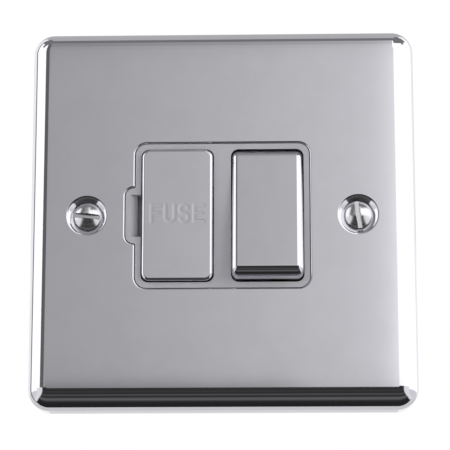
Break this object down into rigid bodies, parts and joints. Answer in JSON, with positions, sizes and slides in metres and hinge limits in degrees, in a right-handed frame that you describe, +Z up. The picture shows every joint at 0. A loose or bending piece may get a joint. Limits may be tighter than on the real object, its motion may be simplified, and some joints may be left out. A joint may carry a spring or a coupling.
{
  "type": "fused spur unit",
  "caption": "Square wall plate with rounded edges, a rocker switch, a pull-out fuse carrier and a moulded rear base with wire terminals; switches and fuses a fixed appliance.",
  "frame": {"origin": "centre of the plate on the wall plane, midway between the two fixing screws", "axes": "+X to the right and +Z up as seen from the front, +Y into the wall; the front faces -Y"},
  "size_m": [0.086, 0.0302, 0.086],
  "materials": {
    "plate_chrome": "polished plating on pressed steel",
    "trim_chrome": "polished plating",
    "screw_chrome": "polished plating",
    "insert_grey": "fine satin moulding",
    "base_white": "plain moulding",
    "carrier_white": "plain moulding",
    "plunger_plastic": "plain moulding",
    "fuse_ceramic": "glazed ceramic",
    "fuse_nickel": "nickel plating",
    "terminal_brass": "turned and milled",
    "strip_brass": "stamped strip",
    "contact_silver": "silver alloy",
    "zinc_steel": "zinc plating",
    "spring_steel": "drawn wire"
  },
  "bodies": {
    "unit": {"faceplate": "plate_chrome", "front_moulding": "insert_grey", "rear_base": "base_white", "plate_studs": "zinc_steel", "stud_nuts": "zinc_steel", "earth_strap": "strip_brass", "left_fixing_screw": "screw_chrome", "right_fixing_screw": "screw_chrome", "assembly_screws": "zinc_steel", "supply_live_terminal": "terminal_brass", "supply_neutral_terminal": "terminal_brass", "load_live_terminal": "terminal_brass", "load_neutral_terminal": "terminal_brass", "earth_terminal": "terminal_brass", "terminal_screws": "zinc_steel", "live_fixed_contact": "strip_brass", "neutral_fixed_contact": "strip_brass", "fixed_tips": "contact_silver", "live_pivot_bracket": "strip_brass", "neutral_pivot_bracket": "strip_brass", "upper_fuse_clip": "strip_brass", "lower_fuse_clip": "strip_brass"},
    "rocker": {"rocker_cap": "trim_chrome", "rocker_body": "carrier_white", "plungers": "plunger_plastic", "plunger_springs": "spring_steel"},
    "live_arm": {"live_contact_arm": "strip_brass", "live_moving_tip": "contact_silver"},
    "neutral_arm": {"neutral_contact_arm": "strip_brass", "neutral_moving_tip": "contact_silver"},
    "fuse_carrier": {"fuse_carrier_cap": "trim_chrome", "fuse_carrier_body": "carrier_white", "fuse_barrel": "fuse_ceramic", "fuse_end_caps": "fuse_nickel"}
  },
  "joints": [
    {"name": "rocker_tilt", "type": "hinge", "parent": "unit", "child": "rocker", "pos_m": [0.01, -0.005, 0], "axis": [1, 0, 0], "range_deg": [0, 14]},
    {"name": "live_arm_tilt", "type": "hinge", "parent": "unit", "child": "live_arm", "pos_m": [0.0062, 0.0061, 0], "axis": [1, 0, 0], "range_deg": [-19, 0]},
    {"name": "neutral_arm_tilt", "type": "hinge", "parent": "unit", "child": "neutral_arm", "pos_m": [0.0138, 0.0061, 0], "axis": [1, 0, 0], "range_deg": [-19, 0]},
    {"name": "carrier_slide", "type": "slide", "parent": "unit", "child": "fuse_carrier", "axis": [0, -1, 0], "range_m": [0, 0.016]}
  ],
  "couplings": [
    {"joint": "live_arm_tilt", "follows": "rocker_tilt", "ratio": -1.357},
    {"joint": "neutral_arm_tilt", "follows": "rocker_tilt", "ratio": -1.357}
  ]
}
